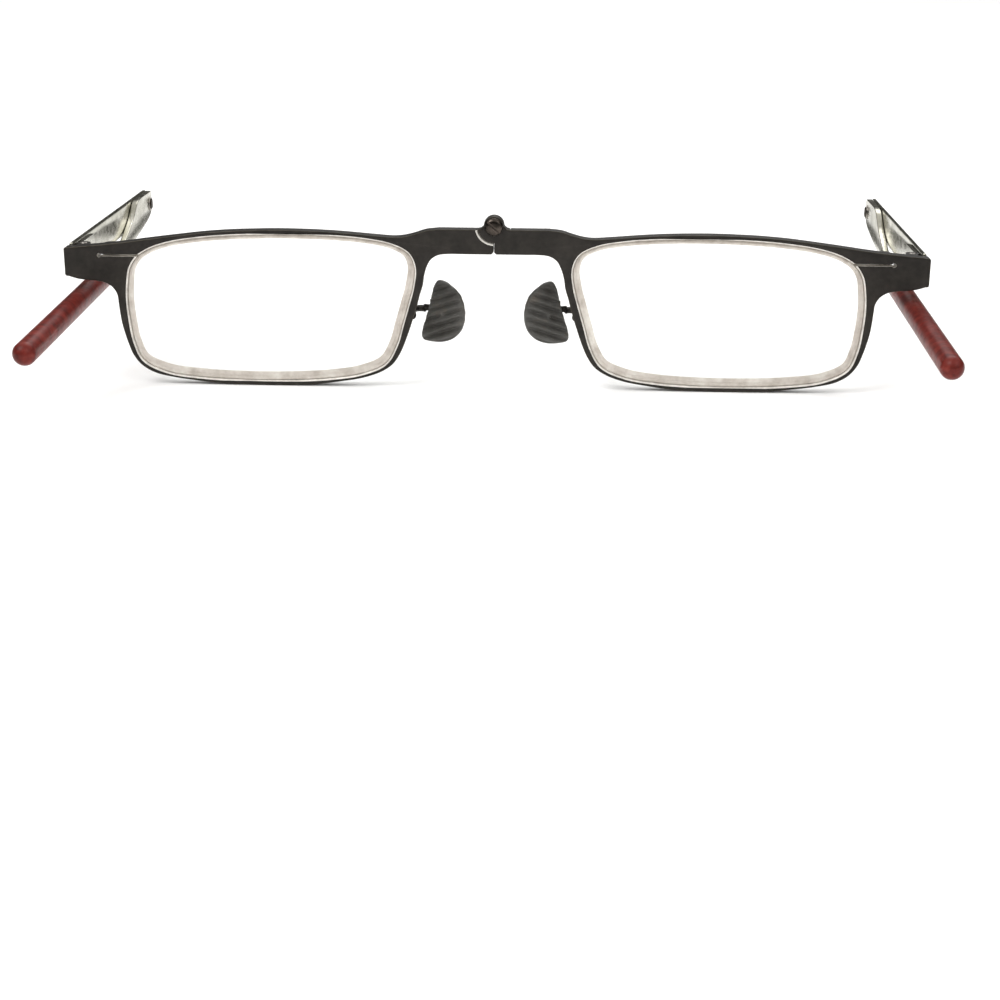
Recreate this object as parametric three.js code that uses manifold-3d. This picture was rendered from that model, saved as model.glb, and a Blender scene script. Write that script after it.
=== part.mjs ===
// Folding reading glasses: a bridge that folds in its own plane, hinged temple bands and rear arms
// that turn back under the bands. Millimetres, +Z up, the front faces -Y, +Y runs towards the wearer.
// Working frame: x = 0 at the bridge pivot, y = 0 on the front face, z = 0 at mid height of the rims.
// Every side piece is drawn for the +X side (the wearer's left) and mirrored for the other side.
import * as THREE from 'three';
import { mergeVertices } from 'three/addons/utils/BufferGeometryUtils.js';
import Module from 'manifold-3d';

const wasm = await Module();
wasm.setup();

// ---------------------------------------------------------------- driving dimensions (mm)
const HALF_WIDTH = 63;
const RIM_DEPTH = 2;
const RIM_BOTTOM = -11.88;

const PIVOT_Z = 12.25;
const BAR_TOP = 11.81;
const BAR_BOTTOM = 8.22;
const BUTT_GAP = 0.05;
const EAR_R = 2.35;
const EAR_CLEAR_R = 2.43;
const EAR_CROWN_R = 1.5;
const EAR_SPLIT = 1;
const EAR_GAP = 0.02;
const BRIDGE_PIN_R = 0.7;
const BRIDGE_BORE_R = 0.75;

const LENS_CX = 32.3;
const LENS_CZ = -0.3;
const LOOP_COUNT = 48;
const GROOVE_DEPTH = 0.38;
const LENS_SEAT = 0.32;
const RIM_CHAMFER = 0.22;

const KERF_Z = 7.4;
const KERF_HALF = 0.17;
const KERF_END = 57.8;
const KERF_HOLE_R = 0.3;

const LOCK_X = 56.6;
const LOCK_Y = 2.97;
const LOCK_R = 0.95;
const LOCK_PIN_R = 0.45;

const HINGE_X = 61;
const HINGE_Y = 4.2;
const KNUCKLE_R = 1;
const HINGE_PIN_R = 0.55;
const HINGE_BORE_R = 0.6;
const LEAF_Z = [4.4, 8.45];
const KNUCKLE_Z = [5.6, 7.5];

const BAND_X = [62.05, 62.85];
const BAND_FRONT = 2.3;
const BAND_END = 51.8;
const BAND_TOP = 8.75;
const BAND_BOTTOM = 3.95;

const ARM_PIVOT = [49.3, 6.7];
const ARM_X = [61.05, 62];
const ARM_PIN_R = 0.6;
const ARM_BORE_R = 0.65;

const ROD_X = 61.3;
const ROD_R = 1.63;
const ROD_Z0 = 0.5;
const ROD_SLOPE = 0.03;
const ROD_TIP = -28.5;
const ROD_TAIL = 24;
const CORE_R = 0.8;
const CORE_BORE_R = 0.88;
const CORE_START = 27.2;
const CORE_END = -18;

const PAD_ANCHOR = [12.15, -1.4];
const PAD_WIRE_R = 0.5;
const PAD_TILT = 0.42;
const PAD_CENTRE = [7.95, 5.6, -1.3];
const PAD_THICK = 1.7;

// ---------------------------------------------------------------- outlines, [x, z] in mm
const TOP_EDGE = [[8, 11.81], [9.9, 11.58], [11.4, 11.1], [12.95, 10.7], [14.43, 10.55], [17.02, 10.7],
  [19.97, 10.94], [23.74, 11.2], [27.97, 11.35], [31.8, 11.38], [35.02, 11.3], [38.57, 11.15],
  [42.43, 10.84], [46.34, 10.37], [50.17, 9.87], [54.12, 9.32], [58.57, 8.81], [62.5, 8.47]];
const END_FACE = [[62.86, 8.36], [63, 8.05], [63, 4.75], [62.88, 4.42]];
const UNDER_EDGE = [[62.5, 4.24], [61.2, 3.86], [59.8, 3.68], [58.4, 3.58], [57.2, 3.34], [56.1, 2.66],
  [55.46, 1.61], [55.31, 0.31], [55.19, -1.12], [54.99, -2.67], [54.63, -4.24], [54.17, -5.82],
  [53.51, -7.53], [52.36, -9.02], [50.45, -10.16], [47.52, -10.86], [44.34, -11.29], [40.76, -11.68],
  [37.13, -11.84], [33.02, -11.88], [29.45, -11.82], [25.92, -11.56], [22.47, -11.09], [19.28, -10.5],
  [16.69, -9.59], [14.94, -8.42], [13.95, -7.05], [13.27, -5.65], [12.74, -4.25], [12.24, -2.76],
  [11.76, -1.29], [11.33, 0.19], [10.92, 1.76], [10.47, 3.25], [10.22, 4.8], [9.8, 6.2], [9.15, 7.35],
  [8.1, 8.02], [6.5, 8.22], [4.8, 8.22]];
const OPENING = [[53.75, 3.65], [53.37, 5.45], [52.29, 7.13], [50.37, 8.38], [47.32, 9.38], [41.9, 10.2],
  [36.03, 10.6], [29.98, 10.73], [24.41, 10.62], [19.1, 10.23], [14.91, 9.45], [12.47, 8.16], [11.57, 6.16],
  [11.79, 3.41], [12.58, 0.4], [13.39, -2.4], [14.3, -5.49], [15.96, -8.31], [19.42, -9.91],
  [24.29, -10.72], [30.45, -11.09], [36.65, -11.13], [43.16, -10.84], [48.62, -10.05], [52.03, -8.3],
  [53.25, -5.51], [53.76, -2.28], [53.96, 0.93]];
const PAD_OUTLINE = [[0.6, 4.45], [-0.4, 4.42], [-1.62, 3.78], [-3, 2.6], [-3.75, 0.7], [-3.8, -1.2],
  [-3.2, -2.9], [-1.9, -4.2], [-0.15, -4.88], [1.75, -5], [3.15, -4.72], [3.3, -3.75], [2.6, -1.4],
  [1.8, 1.2], [1.25, 3.4]];

// ---------------------------------------------------------------- solid helpers
function toSolid(geometry) {
  const bare = new THREE.BufferGeometry();
  bare.setAttribute('position', geometry.getAttribute('position').clone());
  if (geometry.index) {
    bare.setIndex(geometry.index.clone());
  }
  const welded = mergeVertices(bare, 1e-5);
  const mesh = new wasm.Mesh({
    numProp: 3,
    vertProperties: new Float32Array(welded.getAttribute('position').array),
    triVerts: new Uint32Array(welded.index.array),
  });
  mesh.merge();
  return new wasm.Manifold(mesh);
}

function toGeometry(solid) {
  const mesh = solid.getMesh();
  const geometry = new THREE.BufferGeometry();
  geometry.setAttribute('position', new THREE.BufferAttribute(new Float32Array(mesh.vertProperties), 3));
  geometry.setIndex(new THREE.BufferAttribute(new Uint32Array(mesh.triVerts), 1));
  return geometry;
}

const union = (parts) => parts.reduce((left, right) => left.add(right));
const cut = (solid, tools) => tools.reduce((left, tool) => left.subtract(tool), solid);

function smooth(points, count, closed = false) {
  const knots = points.map(([x, z]) => new THREE.Vector3(x, z, 0));
  const curve = new THREE.CatmullRomCurve3(knots, closed, 'centripetal');
  const samples = curve.getSpacedPoints(count);
  if (closed) {
    samples.pop();
  }
  return samples.map((p) => new THREE.Vector2(p.x, p.y));
}

// A flat plate: outline in x-z, thickness along y from y0 to y1, with an optional edge chamfer.
function plateXZ(outline, holes, y0, y1, chamfer = 0) {
  const shape = new THREE.Shape(outline);
  holes.forEach((hole) => shape.holes.push(new THREE.Path(hole)));
  const options = { depth: y1 - y0 - 2 * chamfer, bevelEnabled: chamfer > 0, curveSegments: 12 };
  if (chamfer > 0) {
    Object.assign(options, { bevelThickness: chamfer, bevelSize: chamfer, bevelOffset: -chamfer, bevelSegments: 1 });
  }
  const geometry = new THREE.ExtrudeGeometry(shape, options);
  geometry.rotateX(Math.PI / 2);
  geometry.translate(0, y1 - chamfer, 0);
  return geometry;
}

// A flat plate: outline in y-z, thickness along x from x0 to x1.
function plateYZ(outline, holes, x0, x1, chamfer = 0) {
  const turned = plateXZ(outline, holes, 0, x1 - x0, chamfer);
  turned.rotateZ(Math.PI / 2);
  turned.translate(x1, 0, 0);
  return turned;
}

function circle(cx, cz, radius, count) {
  const points = [];
  for (let i = 0; i < count; i += 1) {
    const angle = (2 * Math.PI * i) / count;
    points.push(new THREE.Vector2(cx + radius * Math.cos(angle), cz + radius * Math.sin(angle)));
  }
  return points;
}

function rod(axis, radius, from, to, at, segments = 16) {
  const geometry = new THREE.CylinderGeometry(radius, radius, to - from, segments);
  const middle = (from + to) / 2;
  if (axis === 'y') {
    geometry.translate(at[0], middle, at[1]);
  } else if (axis === 'z') {
    geometry.rotateX(Math.PI / 2);
    geometry.translate(at[0], at[1], middle);
  } else {
    geometry.rotateZ(-Math.PI / 2);
    geometry.translate(middle, at[0], at[1]);
  }
  return geometry;
}

function block(x0, x1, y0, y1, z0, z1) {
  const geometry = new THREE.BoxGeometry(x1 - x0, y1 - y0, z1 - z0);
  geometry.translate((x0 + x1) / 2, (y0 + y1) / 2, (z0 + z1) / 2);
  return geometry;
}

// A turned solid about the local Y axis from a [radius, y] profile that starts and ends on the axis.
function turned(profile, segments = 14) {
  return new THREE.LatheGeometry(profile.map(([r, y]) => new THREE.Vector2(r, y)), segments);
}

// A closed mesh from flat lists, turned so that its faces point outwards.
function facingOut(vertices, faces) {
  const corner = (i) => new THREE.Vector3().fromArray(vertices, 3 * faces[i]);
  let volume = 0;
  for (let i = 0; i < faces.length; i += 3) {
    volume += corner(i).dot(corner(i + 1).cross(corner(i + 2)));
  }
  const geometry = new THREE.BufferGeometry();
  geometry.setAttribute('position', new THREE.Float32BufferAttribute(vertices, 3));
  geometry.setIndex(volume < 0 ? [...faces].reverse() : faces);
  return geometry;
}

// Closed loops of equal length, joined ring to ring and capped by fans at both ends.
function loft(rings, first, last) {
  const count = rings[0].length;
  const vertices = [];
  const faces = [];
  rings.forEach((ring) => ring.forEach((p) => vertices.push(p.x, p.y, p.z)));
  for (let r = 0; r + 1 < rings.length; r += 1) {
    for (let i = 0; i < count; i += 1) {
      const j = (i + 1) % count;
      const a = r * count + i;
      const b = r * count + j;
      faces.push(a, b, b + count, a, b + count, a + count);
    }
  }
  const start = vertices.length / 3;
  vertices.push(first.x, first.y, first.z, last.x, last.y, last.z);
  const top = (rings.length - 1) * count;
  for (let i = 0; i < count; i += 1) {
    const j = (i + 1) % count;
    faces.push(start, j, i, start + 1, top + i, top + j);
  }
  return facingOut(vertices, faces);
}

// A ring that follows a closed loop, with an [offset, y] section; the offset is measured outwards.
function ringAlong(loop, section) {
  const count = loop.length;
  const vertices = [];
  const faces = [];
  section.forEach(([offset, y]) => grow(loop, offset).forEach((p) => vertices.push(p.x, y, p.y)));
  for (let s = 0; s < section.length; s += 1) {
    const t = (s + 1) % section.length;
    for (let i = 0; i < count; i += 1) {
      const j = (i + 1) % count;
      const quad = [s * count + i, s * count + j, t * count + j, t * count + i];
      faces.push(quad[0], quad[1], quad[2], quad[0], quad[2], quad[3]);
    }
  }
  return facingOut(vertices, faces);
}

function grow(loop, offset) {
  const count = loop.length;
  return loop.map((point, i) => {
    const before = loop[(i + count - 1) % count];
    const after = loop[(i + 1) % count];
    const along = new THREE.Vector2().subVectors(after, before).normalize();
    return new THREE.Vector2(point.x + along.y * offset, point.y - along.x * offset);
  });
}

function area(loop) {
  return THREE.ShapeUtils.area(loop);
}

function mirrored(geometry) {
  const copy = geometry.clone();
  copy.scale(-1, 1, 1);
  if (!copy.index) {
    const order = [...Array(copy.getAttribute('position').count).keys()];
    copy.setIndex(order);
  }
  const index = copy.index.array;
  for (let i = 0; i < index.length; i += 3) {
    [index[i + 1], index[i + 2]] = [index[i + 2], index[i + 1]];
  }
  return copy;
}

// ---------------------------------------------------------------- shared curves
const lensLoop = smooth(OPENING, LOOP_COUNT, true);
if (area(lensLoop) < 0) {
  lensLoop.reverse();
}

const frontOutline = [
  new THREE.Vector2(BUTT_GAP, BAR_BOTTOM + 0.3),
  new THREE.Vector2(BUTT_GAP, BAR_TOP),
  ...smooth(TOP_EDGE, 30),
  ...END_FACE.map(([x, z]) => new THREE.Vector2(x, z)),
  ...smooth(UNDER_EDGE, 64),
  new THREE.Vector2(BUTT_GAP + 0.3, BAR_BOTTOM),
];

// ---------------------------------------------------------------- front half
// The pivot ear: a round lobe cut level with the bar, with a smaller round crown around the pin above it.
function earLobe(y0, y1) {
  const lobe = toSolid(rod('y', EAR_R, y0, y1, [0, PIVOT_Z], 32));
  const level = toSolid(block(-3, 3, -1, 3, PIVOT_Z - 3, BAR_TOP));
  const crown = toSolid(rod('y', EAR_CROWN_R, y0, y1, [0, PIVOT_Z], 28));
  const flare = [[-2.15, BAR_TOP - 0.3], [2.15, BAR_TOP - 0.3], [2.15, BAR_TOP], [1.32, PIVOT_Z + 0.4],
    [-1.32, PIVOT_Z + 0.4], [-2.15, BAR_TOP]].map(([x, z]) => new THREE.Vector2(x, z));
  return union([lobe.intersect(level), crown, toSolid(plateXZ(flare, [], y0, y1))]);
}

// earFront true puts the round pivot ear in the front layer of the half lap, false in the rear layer.
function frontHalf(earFront) {
  const plate = toSolid(plateXZ(frontOutline, [lensLoop], 0, RIM_DEPTH));
  const groove = toSolid(ringAlong(lensLoop, [[-0.4, 0.35], [GROOVE_DEPTH, 1], [-0.4, 1.65]]));
  const chamfer = toSolid(ringAlong(lensLoop, [[-0.3, 0.52], [-0.3, -0.22], [RIM_CHAMFER * 2, -0.22]]));
  const kerf = toSolid(block(50.8, KERF_END, -1, 3, KERF_Z - KERF_HALF, KERF_Z + KERF_HALF));
  const kerfHole = toSolid(rod('y', KERF_HOLE_R, -1, 3, [KERF_END, KERF_Z], 12));
  const ear = earFront ? [0, EAR_SPLIT - EAR_GAP] : [EAR_SPLIT + EAR_GAP, RIM_DEPTH];
  const gap = earFront ? [EAR_SPLIT - EAR_GAP, 3] : [-1, EAR_SPLIT + EAR_GAP];
  const relief = toSolid(rod('y', EAR_CLEAR_R, gap[0], gap[1], [0, PIVOT_Z], 32));
  const bore = toSolid(rod('y', BRIDGE_BORE_R, -1, 3, [0, PIVOT_Z], 16));
  const shaped = cut(plate, [groove, chamfer, kerf, kerfHole, relief]);
  return toGeometry(cut(union([shaped, earLobe(ear[0], ear[1])]), [bore]));
}

// ---------------------------------------------------------------- lens
// A plus lens: domed front, shallow hollow back, a ground shoulder and a V edge that sits in the groove.
function lens() {
  const ring = (offset, y) => grow(lensLoop, offset).map((p) => new THREE.Vector3(p.x, y, p.y));
  const inset = (scale, edge, y) => grow(lensLoop, edge).map((p) => new THREE.Vector3(
    LENS_CX + (p.x - LENS_CX) * scale, y, LENS_CZ + (p.y - LENS_CZ) * scale));
  const dome = (scale) => -0.5 + 0.52 * scale * scale;
  const hollow = (scale) => 1.34 + 0.3 * scale * scale;
  const rings = [
    inset(0.35, -1.1, dome(0.35)),
    inset(0.7, -1.1, dome(0.7)),
    ring(-1.1, dome(1)),
    ring(-0.06, 0.4),
    ring(-0.06, 0.69),
    ring(LENS_SEAT, 1),
    ring(-0.06, 1.31),
    ring(-0.06, 1.6),
    ring(-0.4, hollow(1)),
    inset(0.6, -0.4, hollow(0.6)),
  ];
  return loft(rings, new THREE.Vector3(LENS_CX, dome(0), LENS_CZ), new THREE.Vector3(LENS_CX, hollow(0), LENS_CZ));
}

// ---------------------------------------------------------------- rim lock behind the endpiece
function lockBarrel(z0, z1, boreFrom, boreTo) {
  const barrel = toSolid(rod('z', LOCK_R, z0, z1, [LOCK_X, LOCK_Y], 16));
  const foot = toSolid(block(LOCK_X - 0.9, LOCK_X + 0.9, RIM_DEPTH + 0.02, LOCK_Y, z0, z1));
  const bore = toSolid(rod('z', LOCK_PIN_R + 0.05, boreFrom, boreTo, [LOCK_X, LOCK_Y], 16));
  return toGeometry(cut(union([barrel, foot]), [bore]));
}

// A slotted screw along +Y from its head at y = 0, before it is placed.
function slottedScrew(headR, headH, pinR, length, slot) {
  const body = toSolid(turned([
    [0, -headH], [headR * 0.55, -headH * 0.94], [headR * 0.86, -headH * 0.62], [headR, -headH * 0.2], [headR, 0],
    [pinR, 0], [pinR, length - 0.15], [pinR - 0.15, length], [0, length]]));
  const groove = toSolid(block(-headR - 0.2, headR + 0.2, -headH - 0.2, -headH * 0.55, -slot / 2, slot / 2));
  return toGeometry(cut(body, [groove]));
}

function uprightScrew(x, y, z, headR, headH, pinR, length, slot, turn) {
  const screw = slottedScrew(headR, headH, pinR, length, slot);
  screw.rotateY(turn);
  screw.rotateX(Math.PI / 2);
  screw.translate(x, y, z);
  return screw;
}

// ---------------------------------------------------------------- temple hinge
function frontLeaf() {
  const base = toSolid(block(58.6, 61.6, RIM_DEPTH + 0.02, 2.9, LEAF_Z[0], LEAF_Z[1]));
  const solids = [base];
  [[LEAF_Z[0], KNUCKLE_Z[0] - 0.05], [KNUCKLE_Z[1] + 0.05, LEAF_Z[1]]].forEach(([z0, z1]) => {
    solids.push(toSolid(rod('z', KNUCKLE_R, z0, z1, [HINGE_X, HINGE_Y], 18)));
    solids.push(toSolid(block(HINGE_X - KNUCKLE_R, HINGE_X + 0.6, 2.6, HINGE_Y, z0, z1)));
  });
  const bore = toSolid(rod('z', HINGE_BORE_R, 4, 9, [HINGE_X, HINGE_Y], 14));
  return toGeometry(cut(union(solids), [bore]));
}

function templeLeaf() {
  const knuckle = toSolid(rod('z', KNUCKLE_R, KNUCKLE_Z[0], KNUCKLE_Z[1], [HINGE_X, HINGE_Y], 18));
  const neck = toSolid(block(HINGE_X + 0.1, BAND_X[0] - 0.02, HINGE_Y, 7, KNUCKLE_Z[0], KNUCKLE_Z[1]));
  const flap = toSolid(block(HINGE_X + 0.42, BAND_X[0] - 0.02, 5.75, 12, LEAF_Z[0] + 0.1, LEAF_Z[1] - 0.1));
  const bore = toSolid(rod('z', HINGE_BORE_R, 4, 9, [HINGE_X, HINGE_Y], 14));
  return toGeometry(cut(union([knuckle, neck, flap]), [bore]));
}

// ---------------------------------------------------------------- temple band and mid pivot
const BAND_OUTLINE = [
  [BAND_FRONT, 4.3], [BAND_FRONT, BAND_TOP - 0.1], [BAND_FRONT + 0.1, BAND_TOP], [BAND_END - 0.9, BAND_TOP],
  [BAND_END - 0.45, BAND_TOP - 0.12], [BAND_END - 0.12, BAND_TOP - 0.45], [BAND_END, BAND_TOP - 0.9],
  [BAND_END, 6.5], [BAND_END - 0.2, 5.9], [BAND_END - 0.7, 5.3], [BAND_END - 1.6, 4.75], [BAND_END - 3, 4.35],
  [BAND_END - 5, 4.08], [BAND_END - 7.5, BAND_BOTTOM], [BAND_FRONT + 2.5, BAND_BOTTOM], [BAND_FRONT + 1, 4.05]];

function templeBand() {
  const outline = BAND_OUTLINE.map(([y, z]) => new THREE.Vector2(y, z));
  const plate = toSolid(plateYZ(outline, [], BAND_X[0], BAND_X[1], 0.12));
  const bore = toSolid(rod('x', ARM_BORE_R, 61, 64, ARM_PIVOT, 14));
  return toGeometry(cut(plate, [bore]));
}

function pivotRivet() {
  const rivet = turned([[0, 60.6], [0.6, 60.63], [0.92, 60.74], [0.92, 60.87], [ARM_PIN_R, 60.87],
    [ARM_PIN_R, BAND_X[1] + 0.01], [0.98, BAND_X[1] + 0.01], [0.98, 62.93], [0.8, HALF_WIDTH], [0, HALF_WIDTH]]);
  rivet.rotateZ(-Math.PI / 2);
  rivet.translate(0, ARM_PIVOT[0], ARM_PIVOT[1]);
  return rivet;
}

function pivotWasher() {
  const disc = toSolid(rod('x', 1.15, 60.89, 61.03, ARM_PIVOT, 20));
  return toGeometry(cut(disc, [toSolid(rod('x', ARM_BORE_R, 60, 62, ARM_PIVOT, 14))]));
}

// ---------------------------------------------------------------- rear arm and tip sleeve
const rodZ = (y) => ROD_Z0 + ROD_SLOPE * y;
const rodAngle = Math.atan(ROD_SLOPE);

// Places a solid drawn along +Y from the origin so that it runs along the arm's rod line from y.
function alongRod(geometry, y) {
  geometry.rotateX(rodAngle);
  geometry.translate(ROD_X, y, rodZ(y));
  return geometry;
}

function rearArm() {
  const root = [
    [50.9, 6.3], [50.9, 8.35], [50.55, 8.7], [42, 8.7], [40.3, 8.38], [38.7, 7.5], [36.7, 6.25], [33.6, 4.95],
    [30.2, 3.75], [27.3, 2.65], [25.4, rodZ(25.4) + 0.66], [25.4, rodZ(25.4) - 0.66], [28.2, 0.95], [31.6, 1.75],
    [35.2, 2.45], [40, 3.05], [44.6, 3.75], [48.4, 4.5], [50.2, 5.3]];
  const strip = toSolid(plateYZ(root.map(([y, z]) => new THREE.Vector2(y, z)), [], ARM_X[0], ARM_X[1]));
  const length = CORE_START - CORE_END;
  const core = new THREE.CylinderGeometry(CORE_R, CORE_R, length, 12);
  core.translate(0, length / 2, 0);
  const shoulder = turned([[0, 0], [0.35, 0.1], [CORE_R, 1.4], [CORE_R, 4], [0, 4]], 12);
  shoulder.rotateZ(Math.PI);
  const wire = toSolid(alongRod(core, CORE_END));
  const blend = toSolid(alongRod(shoulder, CORE_START + 0.9));
  const bore = toSolid(rod('x', ARM_BORE_R, 60, 63, ARM_PIVOT, 14));
  return toGeometry(cut(union([strip, wire, blend]), [bore]));
}

function armTip() {
  const length = ROD_TAIL - ROD_TIP;
  const profile = [];
  for (let i = 0; i <= 5; i += 1) {
    const angle = (Math.PI / 2) * (1 - i / 5);
    profile.push([ROD_R * Math.cos(angle), -ROD_R * Math.sin(angle)]);
  }
  profile.push([ROD_R, length - 0.5], [ROD_R - 0.2, length - 0.12], [ROD_R - 0.45, length], [0, length]);
  profile[0][0] = 0;
  const sleeve = toSolid(alongRod(turned(profile, 20), ROD_TIP));
  const bore = new THREE.CylinderGeometry(CORE_BORE_R, CORE_BORE_R, length, 12);
  bore.translate(0, length / 2, 0);
  return toGeometry(cut(sleeve, [toSolid(alongRod(bore, CORE_END - 0.3))]));
}

// ---------------------------------------------------------------- nose pad and its arm
function padFrame(geometry) {
  geometry.rotateZ(PAD_TILT);
  geometry.translate(PAD_CENTRE[0], PAD_CENTRE[1], PAD_CENTRE[2]);
  return geometry;
}

function padArm() {
  const section = new THREE.Shape(circle(0, 0, PAD_WIRE_R, 8));
  const path = new THREE.CatmullRomCurve3([
    new THREE.Vector3(PAD_ANCHOR[0], RIM_DEPTH + 0.02, PAD_ANCHOR[1]),
    new THREE.Vector3(PAD_ANCHOR[0] + 0.05, 3.3, PAD_ANCHOR[1]),
    new THREE.Vector3(PAD_ANCHOR[0] + 0.08, 5.6, PAD_ANCHOR[1]),
    new THREE.Vector3(PAD_ANCHOR[0] - 0.3, 6.85, PAD_ANCHOR[1]),
    new THREE.Vector3(PAD_ANCHOR[0] - 0.95, 7.06, PAD_ANCHOR[1]),
    new THREE.Vector3(PAD_ANCHOR[0] - 1.6, 6.78, PAD_ANCHOR[1]),
  ], false, 'centripetal');
  const wire = toSolid(new THREE.ExtrudeGeometry(section, { steps: 14, extrudePath: path, bevelEnabled: false }));
  const foot = toSolid(rod('y', 0.64, RIM_DEPTH + 0.02, 2.55, PAD_ANCHOR, 12));
  const plate = toSolid(padFrame(block(-1.3, 1.9, -0.25, 0.25, -1.3, 1.5)));
  const neck = toSolid(padFrame(block(1.8, 3, -0.25, 0.25, -0.3, 0.6)));
  return toGeometry(union([wire, foot, plate, neck]));
}

function nosePad() {
  const outline = smooth(PAD_OUTLINE, 30, true);
  if (area(outline) < 0) {
    outline.reverse();
  }
  const half = PAD_THICK / 2;
  const shape = new THREE.Shape(outline);
  const body = new THREE.ExtrudeGeometry(shape, {
    depth: PAD_THICK - 0.9, bevelEnabled: true, bevelThickness: 0.45, bevelSize: 0.45, bevelOffset: -0.45, bevelSegments: 1,
  });
  body.rotateX(Math.PI / 2);
  body.translate(0, half - 0.45, 0);
  const tools = [toSolid(block(-1.38, 4.5, -0.31, 0.31, -1.38, 1.58))];
  for (let i = 0; i < 7; i += 1) {
    const furrow = new THREE.CylinderGeometry(0.3, 0.3, 12, 6);
    furrow.rotateZ(Math.PI / 2);
    furrow.rotateY(0.24);
    furrow.translate(0, -half, 3.45 - i * 1.18);
    tools.push(toSolid(furrow));
  }
  return padFrame(toGeometry(cut(toSolid(body), tools)));
}

// ---------------------------------------------------------------- bridge pivot hardware
function bridgeScrew() {
  const screw = slottedScrew(1.32, 0.6, BRIDGE_PIN_R, RIM_DEPTH + 1.25, 0.34);
  screw.rotateY(0.7);
  screw.translate(0, -0.03, PIVOT_Z);
  return screw;
}

function bridgeWasher() {
  const disc = toSolid(rod('y', 1.32, RIM_DEPTH + 0.03, RIM_DEPTH + 0.28, [0, PIVOT_Z], 28));
  return toGeometry(cut(disc, [toSolid(rod('y', BRIDGE_BORE_R, 1, 4, [0, PIVOT_Z], 16))]));
}

function bridgeNut() {
  const body = toSolid(rod('y', 1.25, RIM_DEPTH + 0.31, RIM_DEPTH + 1.1, [0, PIVOT_Z], 6));
  return toGeometry(cut(body, [toSolid(rod('y', BRIDGE_PIN_R + 0.03, 1, 5, [0, PIVOT_Z], 16))]));
}

// ---------------------------------------------------------------- materials and assembly
const finish = (color, roughness, metalness, extra = {}) => ({ color, roughness, metalness, ...extra });
const FINISH = {
  frame: finish(0x35302e, 0.42, 0.55),
  steel: finish(0xc9c7c0, 0.22, 1),
  screw: finish(0x8f8c86, 0.35, 1),
  lens: finish(0xdfe9ea, 0.04, 0, { transparent: true, opacity: 0.35 }),
  pad: finish(0x4b4a49, 0.6, 0),
  tip: finish(0x7a2a26, 0.3, 0),
};

const glasses = new THREE.Group();
glasses.name = 'folding_reading_glasses';
glasses.position.set(0, -(ROD_TIP - ROD_R + BAND_END) / 2, -RIM_BOTTOM);

function place(name, geometry, style) {
  const mesh = new THREE.Mesh(geometry, new THREE.MeshStandardMaterial(FINISH[style]));
  mesh.name = name;
  mesh.material.name = name;
  mesh.geometry.computeVertexNormals();
  glasses.add(mesh);
}

function placePair(name, geometry, style) {
  place(`${name}_left`, geometry, style);
  place(`${name}_right`, mirrored(geometry), style);
}

place('front_left', frontHalf(true), 'frame');
place('front_right', mirrored(frontHalf(false)), 'frame');
placePair('lens', lens(), 'lens');
placePair('lock_barrel_upper', lockBarrel(7.72, 8.75, 7.4, 8.5), 'frame');
placePair('lock_barrel_lower', lockBarrel(4.45, 7.08, 4, 7.4), 'frame');
placePair('lock_screw', uprightScrew(LOCK_X, LOCK_Y, 4.43, 0.78, 0.42, LOCK_PIN_R, 4, 0.22, 0.5), 'screw');
placePair('hinge_front_leaf', frontLeaf(), 'frame');
placePair('hinge_temple_leaf', templeLeaf(), 'steel');
placePair('hinge_screw', uprightScrew(HINGE_X, HINGE_Y, 4.38, 0.98, 0.46, HINGE_PIN_R, 4.15, 0.26, 0.9), 'screw');
placePair('temple_band', templeBand(), 'steel');
placePair('pivot_rivet', pivotRivet(), 'screw');
placePair('pivot_washer', pivotWasher(), 'screw');
placePair('rear_arm', rearArm(), 'steel');
placePair('arm_tip', armTip(), 'tip');
placePair('pad_arm', padArm(), 'frame');
placePair('nose_pad', nosePad(), 'pad');
place('bridge_screw', bridgeScrew(), 'screw');
place('bridge_washer', bridgeWasher(), 'screw');
place('bridge_nut', bridgeNut(), 'screw');

export default glasses;
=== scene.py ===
"""Folding reading glasses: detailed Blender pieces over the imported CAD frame.

Shapes are drawn in millimetres in the CAD drawing's own frame (x = 0 at the bridge pivot, y = 0 on the
front face, z = 0 at mid rim height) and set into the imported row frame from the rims' own box.
Left and right are the wearer's: left is +X.
"""
import math
import bmesh
import bpy
from mathutils import Matrix, Vector
from mathutils.kdtree import KDTree


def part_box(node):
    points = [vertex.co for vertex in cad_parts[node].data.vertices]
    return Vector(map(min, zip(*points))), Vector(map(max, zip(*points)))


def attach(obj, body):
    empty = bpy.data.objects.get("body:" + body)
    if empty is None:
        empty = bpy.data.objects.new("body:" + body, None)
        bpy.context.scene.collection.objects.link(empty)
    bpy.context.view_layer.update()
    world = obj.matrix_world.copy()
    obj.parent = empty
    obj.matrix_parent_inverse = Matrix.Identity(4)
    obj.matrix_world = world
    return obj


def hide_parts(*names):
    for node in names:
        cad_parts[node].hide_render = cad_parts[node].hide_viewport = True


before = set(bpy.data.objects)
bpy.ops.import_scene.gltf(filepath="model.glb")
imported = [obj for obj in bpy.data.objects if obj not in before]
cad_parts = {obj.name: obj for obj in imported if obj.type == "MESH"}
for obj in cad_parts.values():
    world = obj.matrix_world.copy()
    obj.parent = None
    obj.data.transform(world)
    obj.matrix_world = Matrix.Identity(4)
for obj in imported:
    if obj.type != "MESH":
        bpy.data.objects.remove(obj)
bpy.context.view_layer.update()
scene = bpy.context.scene

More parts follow.
